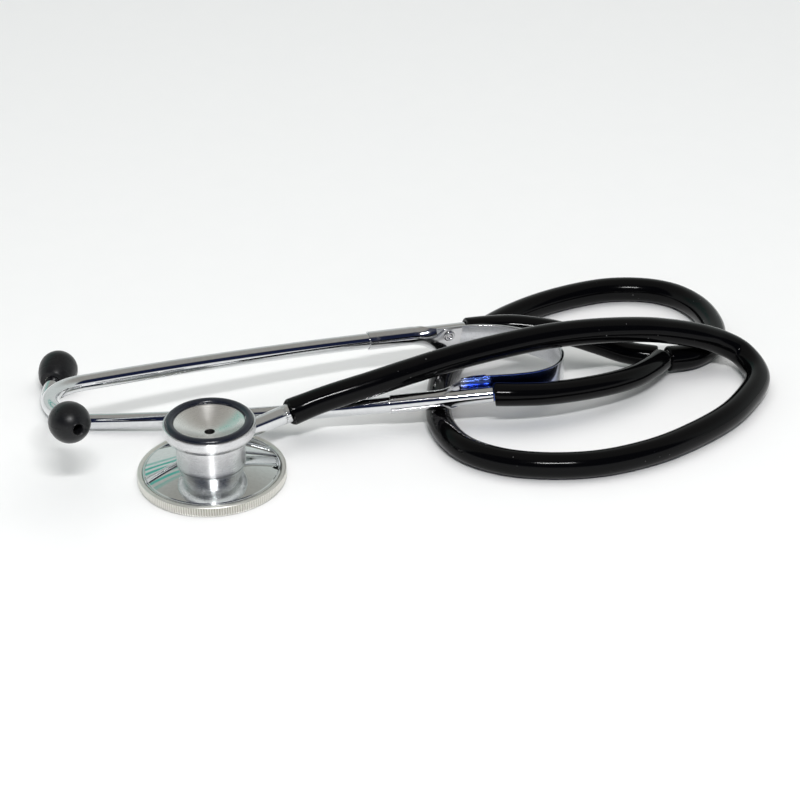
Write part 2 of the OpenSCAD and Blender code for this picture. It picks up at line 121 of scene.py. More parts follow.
def lathe(name, outline, segments=192, place=None, shape=None, smooth_angle=40):
    """Turns a closed (radius, height) outline about Z. shape(r, z, angle) may change a point's radius.

    place is a matrix that moves the result; a mirroring one has its faces turned back outward.
    """
    points, faces, uvs = [], [], []
    count = len(outline)
    lengths = [0.0]
    for i in range(count):
        lengths.append(lengths[-1] + (Vector(outline[(i + 1) % count]) - Vector(outline[i])).length)
    for s in range(segments):
        angle = 2 * math.pi * s / segments
        for r, z in outline:
            radius = shape(r, z, angle) if shape else r
            points.append((radius * math.cos(angle), radius * math.sin(angle), z))
    for s in range(segments):
        t = (s + 1) % segments
        for i in range(count):
            j = (i + 1) % count
            if outline[i][0] < 1e-6 and outline[j][0] < 1e-6:
                continue
            faces.append((s * count + i, t * count + i, t * count + j, s * count + j))
            u0, u1 = s / segments, (s + 1) / segments
            v0, v1 = lengths[i] * MM, lengths[i + 1] * MM
            uvs += [(u0, v0), (u1, v0), (u1, v1), (u0, v1)]
    if place is not None:
        points = [place @ Vector(p) for p in points]
        if place.to_3x3().determinant() < 0:
            faces = [tuple(reversed(f)) for f in faces]
            uvs = [uvs[4 * k + c] for k in range(len(faces)) for c in (3, 2, 1, 0)]
    return add_mesh(name, points, faces, uvs, smooth_angle)


def smooth_route(path, steps):
    """Catmull-Rom curve through the points, continued straight beyond both ends."""
    points = [Vector(p) for p in path]
    points = [2 * points[0] - points[1]] + points + [2 * points[-1] - points[-2]]
    route = []
    for i in range(1, len(points) - 2):
        a, b, c, d = points[i - 1 : i + 3]
        for k in range(steps):
            t = k / steps
            route.append(
                0.5
                * (
                    2 * b
                    + (c - a) * t
                    + (2 * a - 5 * b + 4 * c - d) * t * t
                    + (3 * b - a - 3 * c + d) * t**3
                )
            )
    route.append(points[-2])
    return route


class Route:
    """A route with its distances and frames that don't twist. first is its direction at its start."""

    def __init__(self, points, first=None):
        self.points = [Vector(p) for p in points]
        self.at = [0.0]
        for a, b in zip(self.points, self.points[1:]):
            self.at.append(self.at[-1] + (b - a).length)
        self.length = self.at[-1]
        count = len(self.points)
        self.along = []
        for i in range(count):
            before = self.points[max(i - 1, 0)]
            after = self.points[min(i + 1, count - 1)]
            self.along.append((after - before).normalized())
        if first is not None:
            self.along[0] = Vector(first).normalized()
        side = Vector((0, 0, 1)).cross(self.along[0]).normalized()
        self.side = []
        for direction in self.along:
            side = (side - direction * side.dot(direction)).normalized()
            self.side.append(side)

    def frame(self, s):
        """Point, side and up at distance s, which is kept between the route's ends."""
        s = min(max(s, 0), self.length)
        low, high = 0, len(self.at) - 1
        while high - low > 1:
            mid = (low + high) // 2
            if self.at[mid] <= s:
                low = mid
            else:
                high = mid
        t = (s - self.at[low]) / max(self.at[high] - self.at[low], 1e-9)
        point = self.points[low].lerp(self.points[high], t)
        along = self.along[low].lerp(self.along[high], t).normalized()
        side = self.side[low].lerp(self.side[high], t)
        side = (side - along * side.dot(along)).normalized()
        return point, side, along.cross(side)


def sweep(name, route, outline, sides):
    """Sweeps circles along a route. outline is a closed list of (distance, radius)."""
    points, faces, uvs = [], [], []
    for s, radius in outline:
        point, side, up = route.frame(s)
        for k in range(sides):
            angle = 2 * math.pi * k / sides
            points.append(point + radius * (math.cos(angle) * side + math.sin(angle) * up))
    count = len(outline)
    for i in range(count):
        j = (i + 1) % count
        for k in range(sides):
            m = (k + 1) % sides
            faces.append((i * sides + k, i * sides + m, j * sides + m, j * sides + k))
            u0, u1 = k / sides, (k + 1) / sides
            v0, v1 = outline[i][0] * MM, outline[j][0] * MM
            uvs += [(u0, v0), (u1, v0), (u1, v1), (u0, v1)]
    return add_mesh(name, points, faces, uvs, smooth_angle=50)


def tube_outline(length, outer, inner, edge, step, flare=None):
    """Outline of a hollow tube with rounded cut ends. flare(s) is added to both radii."""
    widen = flare or (lambda s: 0)
    arc = 5
    angles = [math.pi / 2 * k / arc for k in range(arc + 1)]
    rounding = [(edge * (1 - math.sin(a)), edge * (1 - math.cos(a))) for a in angles]
    outline = [(s, outer - cut + widen(s)) for s, cut in reversed(rounding)]
    count = max(int((length - 2 * edge) / step), 2)
    for k in range(1, count):
        s = edge + (length - 2 * edge) * k / count
        outline.append((s, outer + widen(s)))
    outline += [(length - s, outer - cut + widen(length - s)) for s, cut in rounding]
    chamfer = edge * 0.35
    back = max(int(length / (step * 4)), 2)
    outline.append((length, inner + chamfer + widen(length)))
    for k in range(back + 1):
        s = length - chamfer - (length - 2 * chamfer) * k / back
        outline.append((s, inner + widen(s)))
    outline.append((0, inner + chamfer + widen(0)))
    return outline


# ---- Materials ----


class Material:
    """A principled material and short ways to add its procedural detail.

    Further constants name the shader's sockets, with underscores for spaces.
    """

    def __init__(self, name, color, metallic, roughness, **constants):
        self.data = bpy.data.materials.new(name)
        self.data.use_nodes = True
        self.tree = self.data.node_tree
        self.shader = self.tree.nodes["Principled BSDF"]
        self.shader.inputs["Base Color"].default_value = (*color, 1)
        self.shader.inputs["Metallic"].default_value = metallic
        self.shader.inputs["Roughness"].default_value = roughness
        for key, value in constants.items():
            self.shader.inputs[key.replace("_", " ")].default_value = value

    def node(self, kind, **values):
        """A new node; each value sets the input of that name or else the node's own setting."""
        node = self.tree.nodes.new(kind)
        for key, value in values.items():
            if key in node.inputs:
                node.inputs[key].default_value = value
            else:
                setattr(node, key, value)
        return node

    def link(self, source, target):
        self.tree.links.new(source, target)

    def place(self, scale=(1, 1, 1), use_uv=False):
        """Object coordinates in metres, or the mesh's own UVs, times scale."""
        source = self.node("ShaderNodeTexCoord")
        mapping = self.node("ShaderNodeMapping")
        mapping.inputs["Scale"].default_value = scale
        self.link(source.outputs["UV" if use_uv else "Object"], mapping.inputs["Vector"])
        return mapping.outputs["Vector"]

    def noise(self, vector, scale, detail=3.0, roughness=0.5):
        node = self.node("ShaderNodeTexNoise", Scale=scale, Detail=detail, Roughness=roughness)
        self.link(vector, node.inputs["Vector"])
        return node.outputs["Fac"]

    def ramp(self, value, low, high, start, end):
        """Maps value from low..high to start..end."""
        node = self.node("ShaderNodeMapRange")
        node.inputs["From Min"].default_value = low
        node.inputs["From Max"].default_value = high
        node.inputs["To Min"].default_value = start
        node.inputs["To Max"].default_value = end
        self.link(value, node.inputs["Value"])
        return node.outputs["Result"]

    def maths(self, operation, a, b):
        node = self.node("ShaderNodeMath", operation=operation)
        for socket, value in ((node.inputs[0], a), (node.inputs[1], b)):
            if isinstance(value, (int, float)):
                socket.default_value = value
            else:
                self.link(value, socket)
        return node.outputs[0]

    def mix(self, factor, color_a, color_b):
        """Base colour between two colours."""
        node = self.node("ShaderNodeMix", data_type="RGBA")
        self.link(factor, node.inputs["Factor"])
        node.inputs["A"].default_value = (*color_a, 1)
        node.inputs["B"].default_value = (*color_b, 1)
        self.link(node.outputs["Result"], self.shader.inputs["Base Color"])

    def roughen(self, value):
        self.link(value, self.shader.inputs["Roughness"])

    def bump(self, height, strength, distance):
        """Adds a bump on top of those that are there."""
        node = self.node("ShaderNodeBump", Strength=strength, Distance=distance)
        self.link(height, node.inputs["Height"])
        previous = self.shader.inputs["Normal"].links
        if previous:
            self.link(previous[0].from_socket, node.inputs["Normal"])
        self.link(node.outputs["Normal"], self.shader.inputs["Normal"])


def polished(name, color, low, high, wave):
    """Bright plating: faint waviness, fine scratches and a few dull smudges.

    low and high are the roughness of clean and of worn plating; wave is the waviness's strength.
    """
    m = Material(name, color, 1.0, low)
    where = m.place()
    smudge = m.ramp(m.noise(where, 220, 4, 0.6), 0.5, 0.72, 0, 1)
    scratch = m.ramp(m.noise(m.place((4200, 500, 4200)), 1.0, 2), 0.62, 0.75, 0, 1)
    wear = m.maths("MAXIMUM", smudge, m.maths("MULTIPLY", scratch, 0.15))
    m.roughen(m.ramp(wear, 0, 1, low, high))
    dull = m.ramp(m.noise(where, 900, 3), 0.3, 0.75, 0, 1)
    m.mix(dull, color, [c * 0.93 for c in color])
    m.bump(m.noise(where, 160, 2), wave, 0.00004)
    m.bump(m.noise(where, 2600, 2), 0.06, 0.000006)
    return m


chrome = polished("chrome_plating", (0.74, 0.75, 0.76), 0.035, 0.13, 0.1).data
mirror_plate = polished("polished_plate", (0.74, 0.77, 0.765), 0.03, 0.09, 0.1).data


def turned(name, color, roughness, pitch, depth, anisotropic):
    """Metal turned on a lathe: fine rings about Z, and a stretched highlight."""
    m = Material(name, color, 1.0, roughness, Anisotropic=anisotropic, Anisotropic_Rotation=0.25)
    tangent = m.node("ShaderNodeTangent", direction_type="RADIAL", axis="Z")
    m.link(tangent.outputs["Tangent"], m.shader.inputs["Tangent"])
    rings = m.noise(m.place((2, pitch, 1), use_uv=True), 1.0, 4, 0.7)
    blotch = m.noise(m.place(), 180, 3)
    spread = m.maths("ADD", m.maths("MULTIPLY", rings, 0.6), m.maths("MULTIPLY", blotch, 0.4))
    m.roughen(m.ramp(spread, 0.3, 0.7, roughness * 0.7, roughness * 1.35))
    m.mix(m.ramp(rings, 0.35, 0.7, 0, 1), color, [c * 0.9 for c in color])
    m.bump(rings, depth, 0.00003)
    return m.data


barrel_metal = turned("turned_metal", (0.78, 0.78, 0.79), 0.27, 9000, 0.5, 0.9)
dish_metal = turned("dish_metal", (0.93, 0.92, 0.9), 0.28, 12000, 0.35, 0.75)
stem_metal = turned("stem_metal", (0.78, 0.79, 0.8), 0.07, 7000, 0.3, 0.0)


def satin_metal():
    """Anodised rim: pale, even and dull, with painted shade in the knurl's valleys."""
    color = (0.74, 0.735, 0.69)
    m = Material("satin_rim", color, 0.85, 0.36)
    where = m.place()
    grain = m.noise(where, 2400, 3)
    patch = m.noise(where, 150, 3)
    m.roughen(m.ramp(m.maths("ADD", grain, patch), 0.7, 1.3, 0.28, 0.46))
    across = m.node("ShaderNodeVectorMath", operation="LENGTH")
    m.link(m.place((1, 1, 0)), across.inputs[0])
    valley, crest = (RIM_R - KNURL_DEPTH + 0.02) * MM, (RIM_R - 0.08) * MM
    depth = m.ramp(across.outputs["Value"], valley, crest, 1, 0)
    height = m.node("ShaderNodeSeparateXYZ")
    m.link(where, height.inputs[0])
    knurled = m.ramp(height.outputs["Z"], (KNURL_TOP - 0.3) * MM, (KNURL_TOP - 0.1) * MM, 1, 0)
    # Painted shade: the knurl's valleys are darkened, more in some patches than in others.
    knurl_shade = m.maths("MULTIPLY", m.maths("MULTIPLY", depth, knurled), m.ramp(patch, 0.2, 0.8, 0.55, 1))
    m.mix(knurl_shade, color, (0.5, 0.485, 0.43))
    m.bump(grain, 0.25, 0.00002)
    return m.data


rim_metal = satin_metal()


def black_tubing():
    """Glossy flexible tube: faint lines from the die along it, dust specks and rubbed patches."""
    color = (0.0015, 0.0015, 0.0018)
    m = Material("black_tubing", color, 0, 0.1, Specular_IOR_Level=0.13)
    where = m.place()
    lines = m.noise(m.place((26, 9, 1), use_uv=True), 1.0, 3)
    rubbed = m.noise(where, 120, 4, 0.6)
    speck = m.node("ShaderNodeTexVoronoi", Scale=420.0)
    m.link(where, speck.inputs["Vector"])
    dust = m.ramp(speck.outputs["Distance"], 0.06, 0.1, 1, 0)
    dust = m.maths("MULTIPLY", dust, m.ramp(m.noise(where, 90, 2), 0.55, 0.62, 0, 1))
    m.mix(dust, color, (0.12, 0.12, 0.12))
    m.roughen(m.ramp(m.maths("ADD", rubbed, m.maths("MULTIPLY", dust, 0.4)), 0.4, 0.9, 0.07, 0.2))
    m.bump(lines, 0.22, 0.00006)
    m.bump(m.noise(where, 260, 3), 0.1, 0.00008)
    return m.data


tubing = black_tubing()


def moulded(name, color, rough_low, rough_high, speckle, specular):
    """Moulded soft plastic or rubber with a fine grain, speckle times as bright in its specks."""
    m = Material(name, color, 0, rough_high, Specular_IOR_Level=specular)
    where = m.place()
    grain = m.noise(where, 2100, 4, 0.7)
    cloud = m.noise(where, 210, 3)
    m.mix(m.ramp(grain, 0.5, 0.75, 0, 1), color, [c * speckle for c in color])
    m.roughen(m.ramp(m.maths("ADD", grain, cloud), 0.7, 1.3, rough_low, rough_high))
    m.bump(grain, 0.2, 0.00003)
    m.bump(cloud, 0.2, 0.0001)
    return m.data


ear_tip_plastic = moulded("ear_tip_plastic", (0.005, 0.0052, 0.006), 0.25, 0.42, 2.6, 0.3)
connector_plastic = moulded("connector_plastic", (0.006, 0.006, 0.007), 0.2, 0.35, 1.6, 0.35)
bell_rubber = moulded("bell_rubber", (0.007, 0.009, 0.016), 0.16, 0.3, 1.3, 0.5)
gasket_rubber = moulded("gasket_rubber", (0.02, 0.02, 0.02), 0.5, 0.7, 1.4, 0.3)
membrane = moulded("diaphragm_plastic", (0.72, 0.73, 0.71), 0.22, 0.38, 0.96, 0.5)
# Near-black metal inside the sound hole: painted shade.
bore_painted_shade = turned("bore_painted_shade", (0.09, 0.088, 0.085), 0.5, 3000, 0.5, 0.0)
brass = turned("plated_brass", (0.72, 0.7, 0.64), 0.22, 6000, 0.5, 0.2)
clasp_metal = polished("clasp_plating", (0.68, 0.68, 0.69), 0.09, 0.26, 0.2).data
spring_steel = polished("bright_steel", (0.62, 0.63, 0.65), 0.14, 0.3, 0.3).data


def with_painted_reflection(m, color, from_x, to_x):
    """m's material with a painted blue reflection along X from from_x to to_x, in mm, fading over a few
    mm.
    """
    place = m.node("ShaderNodeSeparateXYZ")
    m.link(m.place(), place.inputs[0])
    x = place.outputs["X"]
    inside = m.maths(
        "MULTIPLY",
        m.ramp(x, (from_x - 2) * MM, (from_x + 2) * MM, 0, 1),
        m.ramp(x, (to_x - 3) * MM, (to_x + 3) * MM, 1, 0),
    )
    socket = m.shader.inputs["Base Color"]
    mixer = m.node("ShaderNodeMix", data_type="RGBA")
    m.link(inside, mixer.inputs["Factor"])
    m.link(socket.links[0].from_socket, mixer.inputs["A"])
    mixer.inputs["B"].default_value = (*color, 1)
    m.link(mixer.outputs["Result"], socket)
    return m.data


def spring_strip(name):
    """Rolled spring steel: bright, with a fine speckle and lines along the strip."""
    color = (0.72, 0.73, 0.75)
    m = Material(name, color, 1.0, 0.12)
    where = m.place()
    speck = m.noise(where, 3400, 3, 0.7)
    lines = m.noise(m.place((900, 30, 1), use_uv=True), 1.0, 3)
    m.mix(m.ramp(speck, 0.42, 0.66, 0, 1), color, (0.5, 0.51, 0.53))
    m.roughen(m.ramp(m.maths("ADD", speck, lines), 0.7, 1.3, 0.08, 0.22))
    m.bump(speck, 0.2, 0.00002)
    m.bump(m.noise(where, 130, 2), 0.3, 0.00005)
    return m


strip_metal = spring_strip("leaf_spring_steel").data
# Painted reflection: a blue tint in the base colour of the front half of the strip and of the front
# clasp.
strip_with_painted_reflection = with_painted_reflection(spring_strip("spring_steel_painted_reflection"), (0.11, 0.19, 0.62), 80, 109)
clasp_with_painted_reflection = with_painted_reflection(
    polished("clasp_plating_painted_reflection", (0.68, 0.68, 0.69), 0.09, 0.26, 0.12), (0.012, 0.022, 0.09), 80, 100
)


def finish_piece(obj, body, slot, material, *nodes):
    """Gives a piece its material, its body and the CAD nodes it stands for; slot is not used.

    body is a body's name, or for a flexible piece (moving body, fixed body, start, end) in mm, which is
    not used: such a piece is only left unattached.
    """
    obj.data.materials.clear()
    obj.data.materials.append(material)
    if isinstance(body, str):
        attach(obj, body)
    else:
        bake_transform(obj)
    if nodes:
        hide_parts(*nodes)
    return obj


# ---- Tubing ----

# Centre lines from each tube's mouth to the Y connector
MAIN_PATH = [
    (24.3, 19, 12), (28.6, 20.6, 13), (34, 22, 14.5), (41, 23.7, 16.1), (50, 26.4, 17.6),
    (62, 30.4, 19.6), (76, 35.2, 21.6), (92, 40.6, 22.9), (108, 46.4, 23.1), (124, 51.1, 22.3),
    (139.5, 55.8, 20), (150, 59, 17.3), (160, 61.5, 14), (167.5, 63.3, 10.5), (174, 62.6, 7),
    (177.8, 56, 4.9), (178, 48, 4.3), (173.5, 37.5, 4.2), (165.7, 25.7, 4.2), (154, 14.5, 4.2),
    (140, 4.8, 4.2), (123, -1.8, 4.2), (106, -3, 4.2), (91, 0.3, 4.2), (79.5, 8.5, 4.2),
    (73.2, 22, 4.2), (72.2, 38, 4.2), (74.3, 55, 4.2), (80.2, 70.5, 4.2), (90, 87, 4.2),
    (102, 98.8, 4.2), (116, 107.8, 4.2), (132, 113.8, 4.2), (146, 113.8, 4.2), (157, 108.8, 4.2),
    (164.5, 98.5, 4.2), (167.5, 85, 4.2), (165.5, 73, 4.2), (158.5, 65, 4.6), (149.6, 61.9, 5.2),
]
FRONT_PATH = [
    (90, 26.5, 13.2), (97, 26.6, 12.9), (105.5, 28, 12.2), (114, 31, 11.3), (122.5, 34.7, 10.5),
    (130.5, 39, 9.8), (137.5, 44.4, 9), (143, 51, 8.2), (147.1, 57.5, 7.4),
]
REAR_PATH = [
    (82, 69.1, 13.9), (89.5, 71.3, 13.5), (98.5, 72.2, 13.2), (109, 71, 12.3), (119, 68.7, 10.8),
    (128, 66.4, 8.6), (136, 65.1, 6.2), (146.2, 63.8, 4.9),
]
STEM_DIR = Vector((math.cos(STEM_AZ), math.sin(STEM_AZ), 0))


def pull_direction(azimuth, elevation):
    """Direction of an arm's axis; a positive elevation points it down."""
    az, el = math.radians(azimuth), math.radians(elevation)
    return Vector((math.cos(el) * math.cos(az), math.cos(el) * math.sin(az), -math.sin(el)))


def make_cord(name, path, radius, first, node, start_flare, body="root"):
    """A hollow tube that lies on the table at the lowest, stretched where its ends are pushed on."""
    path = smooth_route(path, 10)
    for p in path:
        p.z = max(p.z, radius)
    route = Route(path, first)

    def flare(s):
        near_start = start_flare * math.exp(-((s / 5.5) ** 2))
        near_end = 0.12 * math.exp(-(((route.length - s) / 4.5) ** 2))
        return near_start + near_end

    outline = tube_outline(route.length, radius, BORE_R, edge=0.75, step=1.1, flare=flare)
    tube = sweep(name, route, outline, 56)
    finish_piece(tube, body, "black_tubing", tubing, node)
    return tube, route


main_tube, main_route = make_cord("main_hose", MAIN_PATH, MAIN_R, STEM_DIR, "main_tube", 0.25)
front_branch, front_route = make_cord(
    "front_branch_hose", FRONT_PATH, BRANCH_R, pull_direction(FRONT_AZ, FRONT_EL),
    "front_branch_tube", 0.1, ("front_arm", "root", (97, 27, 13), (145, 54, 8)),
)
rear_branch, rear_route = make_cord(
    "rear_branch_hose", REAR_PATH, BRANCH_R, pull_direction(REAR_AZ, REAR_EL),
    "rear_branch_tube", 0.1, ("rear_arm", "root", (89, 71, 13.5), (141, 65, 5)),
)


# ---- Y connector ----

Y_MID = Vector((147, 61.5, 5.8))
Y_HUB_R, Y_LEG_R, Y_RIBS, Y_GRIP = 2.55, 2.0, 5, 4


def connector():
    """Moulded Y: a round middle with a ribbed leg into each tube."""
    parts = []
    for i, route in enumerate((main_route, front_route, rear_route)):
        mouth = route.points[-1]
        inward = -route.along[-1]
        path = [Y_MID, (Y_MID + mouth) / 2 + inward * -0.15, mouth, mouth + inward * Y_GRIP]
        leg = Route(smooth_route(path, 6))
        outline = [(0, 0.1), (0, Y_LEG_R), (leg.length - Y_GRIP - 0.2, Y_LEG_R)]
        for k in range(Y_RIBS):
            s = leg.length - Y_GRIP + 0.75 * k
            outline += [(s, 1.95), (s + 0.25, 2.3), (s + 0.45, 1.95)]
        outline += [(leg.length - 0.05, 1.7), (leg.length, 1.4), (leg.length, 0.1)]
        parts.append(sweep(f"y_leg_{i}", leg, outline, 40))
    angles = [math.pi * k / 24 for k in range(25)]
    ball = [(Y_HUB_R * math.sin(a), Y_MID.z - Y_HUB_R * math.cos(a)) for a in angles]
    hub = lathe("y_hub", ball, 48, Matrix.Translation((Y_MID.x, Y_MID.y, 0)))
    return parts + [hub]


def join(name, objects):
    """Joins mesh objects into one."""
    target = objects[0]
    with bpy.context.temp_override(
        active_object=target, selected_editable_objects=objects, selected_objects=objects
    ):
        bpy.ops.object.join()
    target.name = name
    target.data.name = name
    return target


y_piece = finish_piece(
    join("y_connector_body", connector()), "root", "soft_plastic", connector_plastic, "y_connector"
)

# ---- Chest piece ----

KNURL_LOW, KNURL_FADE = 0.35, 0.25


def knurl(r, z, angle):
    """Straight knurl on the rim's outer face, fading out at both edges."""
    if r < RIM_R - 0.5 or z < KNURL_LOW or z > KNURL_TOP:
        return r
    fade = min(1, (z - KNURL_LOW) / KNURL_FADE, (KNURL_TOP - z) / KNURL_FADE)
    wave = 0.5 - 0.5 * math.cos(angle * KNURLS)
    return r - KNURL_DEPTH * fade * wave


rim_outline = rounded(
    [(20.2, 0, 0.1), (23.3, 0, 0.25)]
    + [(RIM_R, z, 0) for z in (KNURL_LOW, 0.48, 0.6, 1.3, 2.1, 2.85, 3.02)]
    + [(RIM_R, KNURL_TOP, 0.1), (23.2, 3.5, 0.25), (22.45, 3.5, 0.15), (22.02, 3.2, 0.05)]
    + [(22.02, 0.5, 0), (20.2, 0.5, 0.1)],
    3,
)
finish_piece(
    lathe("knurled_rim", rim_outline, KNURLS * 8, shape=knurl, smooth_angle=30),
    "head", "satin_metal", rim_metal, "diaphragm_ring",
)

# The plate's dome between its flat top, under the barrel, and its rolled edge
DOME_TOP_R, DOME_WIDTH, DOME_TOP, DOME_FALL, DOME_CURVE = 10.2, 10.8, 5.95, 2.33, 1.2
dome = [
    (DOME_TOP_R + DOME_WIDTH * f, DOME_TOP - DOME_FALL * f**DOME_CURVE)
    for f in (1 - k / 24 for k in range(25))
]
plate_outline = (
    [(HOLE_R, 2.5), (19.6, 1.5), (21.93, 1.5), (21.93, 3.2), (21.8, 3.42), (21.55, 3.52), (21.2, 3.5)]
    + [(21.25, 3.42), (21.15, 3.44), (21.05, 3.56)]
    + dome
    + [(10.1, 5.99), (7, 6), (7, 8.2), (HOLE_R, 8.2)]
)
finish_piece(
    lathe("polished_back_plate", plate_outline, 256, smooth_angle=35),
    "head", "chrome", mirror_plate, "diaphragm_plate",
)


def bell_flare():
    """Underside of the bell, from the barrel's top out to the bell's lip."""
    angles = [math.pi / 2 * k / 16 for k in range(17)]
    return [(BARREL_R + 3.7 * math.sin(a), 15.2 + 3.0 * (1 - math.cos(a))) for a in angles]


def dish_curve():
    """Inside of the bell, from its edge down to the sound hole."""
    return [(1.65 + 9.35 * f, 16.8 + 3.4 * f**1.7) for f in (1 - k / 40 for k in range(41))]


BARREL_LOW, BARREL_HIGH = 6.25, 14.9
barrel_side = [(BARREL_R, BARREL_LOW + (BARREL_HIGH - BARREL_LOW) * k / 8) for k in range(9)]
barrel_outline = (
    [(HOLE_R, 8.2), (7.02, 8.2), (7.02, 6.02), (10.6, 6.02), (10.78, 6.08)]
    + barrel_side
    + [(10.8, 15.05)]
    + bell_flare()
    + [(14.55, 18.9), (14.55, 19.6), (14.53, 20.2), (14.42, 20.42), (14.2, 20.5), (14.02, 20.48)]
    + [(14.0, 20.3), (14.0, 19.9), (11.1, 19.9), (11.1, 20.22)]
    + dish_curve()
    + [(1.62, 16.75), (HOLE_R, 16.5), (HOLE_R, 12)]
)
BARREL_CREASE = 32
barrel = lathe("barrel_and_bell", barrel_outline, 288, smooth_angle=BARREL_CREASE)
for material in (barrel_metal, dish_metal, bore_painted_shade):
    barrel.data.materials.append(material)


def stem_place():
    """Frame on the stem's axis, with +Z along it."""
    turn = Euler((0, math.pi / 2, STEM_AZ), "XYZ").to_matrix().to_4x4()
    return Matrix.Translation((0, 0, STEM_Z)) @ turn


def cut_bore(obj, outline):
    """Cuts a turned shape on the stem's axis out of obj."""
    cutter = lathe("cutter", outline, 64, stem_place())
    modifier = obj.modifiers.new("bore", "BOOLEAN")
    modifier.operation = "DIFFERENCE"
    modifier.object = cutter
    modifier.solver = "EXACT"
    with bpy.context.temp_override(object=obj, active_object=obj):
        bpy.ops.object.modifier_apply(modifier="bore")
    bpy.data.objects.remove(cutter)
    obj.data.shade_smooth()
    obj.data.set_sharp_from_angle(angle=math.radians(BARREL_CREASE))


# The stem's bore, with a groove for the clip that keeps the stem in
cut_bore(
    barrel,
    [(0, -6.6), (2.66, -6.6), (2.66, 7.4), (3.1, 7.4), (3.1, 8.6), (2.66, 8.6), (2.66, 16), (0, 16)],
)
IN_HOLE, IN_DISH, DISH_LOW = 1.72, 11.2, 16.5
for face in barrel.data.polygons:
    centre = face.center / MM
    from_axis = math.hypot(centre.x, centre.y)
    # Faces inside the sound hole get the painted shade.
    if from_axis < IN_HOLE:
        face.material_index = 2
    elif from_axis < IN_DISH and centre.z > DISH_LOW:
        face.material_index = 1
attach(barrel, "head")
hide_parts("bell_barrel")

BEAD_R, BEAD_Z = 12.55, 20.4
bead = [(11.12, 19.95), (13.98, 19.95)] + [
    (BEAD_R + 1.43 * math.cos(a), BEAD_Z + 1.2 * math.sin(a))
    for a in (math.pi * k / 20 for k in range(21))
]
finish_piece(
    lathe("bell_rim_ring", bead, 192, smooth_angle=60), "head", "black_rubber", bell_rubber, "bell_ring"
)

face_outline = rounded(
    [(0, 0, 0), (12, 0, 0), (19.4, 0.02, 0), (20.05, 0.1, 0.1), (20.1, 0.55, 0), (21.85, 0.55, 0.05),
     (21.85, 0.9, 0), (0, 0.9, 0)],
    3,
)
finish_piece(
    lathe("listening_membrane", face_outline, 160), "head", "white_plastic", membrane, "diaphragm"
)

stem_outline = rounded(
    [
        (0, -6.5, 0), (2.3, -6.5, 0.1), (2.6, -6.2, 0.1), (2.6, 7.5, 0), (2.15, 7.5, 0), (2.15, 8.5, 0),
        (2.6, 8.5, 0), (2.6, 11.4, 0.4), (3.0, 26.2, 0.3), (3.02, 27.5, 0.05), (2.86, 27.66, 0),
        (2.86, 27.86, 0), (3.05, 28.0, 0.05), (3.06, 30.8, 0), (2.5, 31.4, 0.3), (2.2, 32.4, 0),
        (2.2, 34.8, 0.2), (1.3, 35, 0.05), (1.3, -5, 0), (0, -5, 0),
    ],
    4,
)


def crimp(r, z, angle):
    """Row of small dents in the groove's shoulder."""
    if r < 2.5 or not 27.4 < z < 28.2:
        return r
    return r - 0.12 * max(0, math.cos(angle * 14)) ** 6


finish_piece(
    lathe("stem_pipe", stem_outline, 168, stem_place(), crimp, 35), "root", "chrome", stem_metal, "stem"
)
for name, material in (
    ("stem_clip", spring_steel), ("detent_ball", spring_steel), ("detent_spring", spring_steel),
    ("diaphragm_gasket", gasket_rubber),
):
    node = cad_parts[name]
    node.data.materials.clear()
    node.data.materials.append(material)

# ---- Ear tubes ----

# Each arm: its clasp's place and direction, how far its ear tube and its clasp are rolled about
# that direction in degrees, the ear tube's length inside clasp and branch tube, the half length
# of the ear tip's lower end, and how far its rivet sits above the plate's middle.
ARMS = {
    "front": {
        "at": (56.5, 25.9, 10.4), "azimuth": FRONT_AZ, "elevation": FRONT_EL,
        "ear_roll": 8.5, "clasp_roll": 0, "tail": 33.4, "tip_lower": 9.4, "rivet_up": 0,
        # The front clasp's material carries a painted blue reflection.
        "clasp_metal": clasp_with_painted_reflection,
    },
    "rear": {
        "at": (49.2, 57, 16.7), "azimuth": REAR_AZ, "elevation": REAR_EL,
        "ear_roll": -6, "clasp_roll": 8, "tail": 35, "tip_lower": 7.2, "rivet_up": 2,
        "clasp_metal": clasp_metal,
    },
}
EAR_R, EAR_BORE, TIP_HOLE_R = 2.6, 2.1, 1.5
# The ear tube's slightly curved run, the bend after it, and its straight end outside and inside the tip
RUN, RUN_TURN = 99.5, math.radians(7.5)
BEND_R, BEND = 15.5, math.radians(93)
END, GRIP = 4, 6


def arm_place(arm, roll):
    """Frame of an arm's clasp: +X towards the branch tube, turned by the roll of that name.

    The rear arm's frame is mirrored, so that both arms are built alike.
    """
    facts = ARMS[arm]
    angles = [math.radians(a) for a in (facts[roll], facts["elevation"], facts["azimuth"])]
    place = Matrix.Translation(facts["at"]) @ Euler(angles, "XYZ").to_matrix().to_4x4()
    if arm == "rear":
        place = place @ Matrix.Diagonal((1, -1, 1, 1))
    return place


def ear_route(tail):
    """Points of an ear tube in its clasp's frame, and the ear tip's start and direction there."""
    run_r = RUN / RUN_TURN
    heading = Vector((-math.cos(RUN_TURN), math.sin(RUN_TURN), 0))
    inward = Vector((math.sin(RUN_TURN), math.cos(RUN_TURN), 0))
    points = [Vector((tail * (1 - k / 10), 0, 0)) for k in range(10)]
    for k in range(41):
        a = RUN_TURN * k / 40
        points.append(Vector((-run_r * math.sin(a), run_r * (1 - math.cos(a)), 0)))
    run_end = points[-1]
    for k in range(1, 49):
        a = BEND * k / 48
        points.append(run_end + BEND_R * (math.sin(a) * heading + (1 - math.cos(a)) * inward))
    out = math.cos(BEND) * heading + math.sin(BEND) * inward
    bend_end = points[-1]
    for k in range(1, 6):
        points.append(bend_end + (END + GRIP) * k / 5 * out)
    return points, bend_end + END * out, out


def along_place(place, origin, direction):
    """Frame at origin with +Z along direction, inside the frame place."""
    turn = Vector(direction).to_track_quat("Z", "Y").to_matrix().to_4x4()
    return place @ Matrix.Translation(origin) @ turn


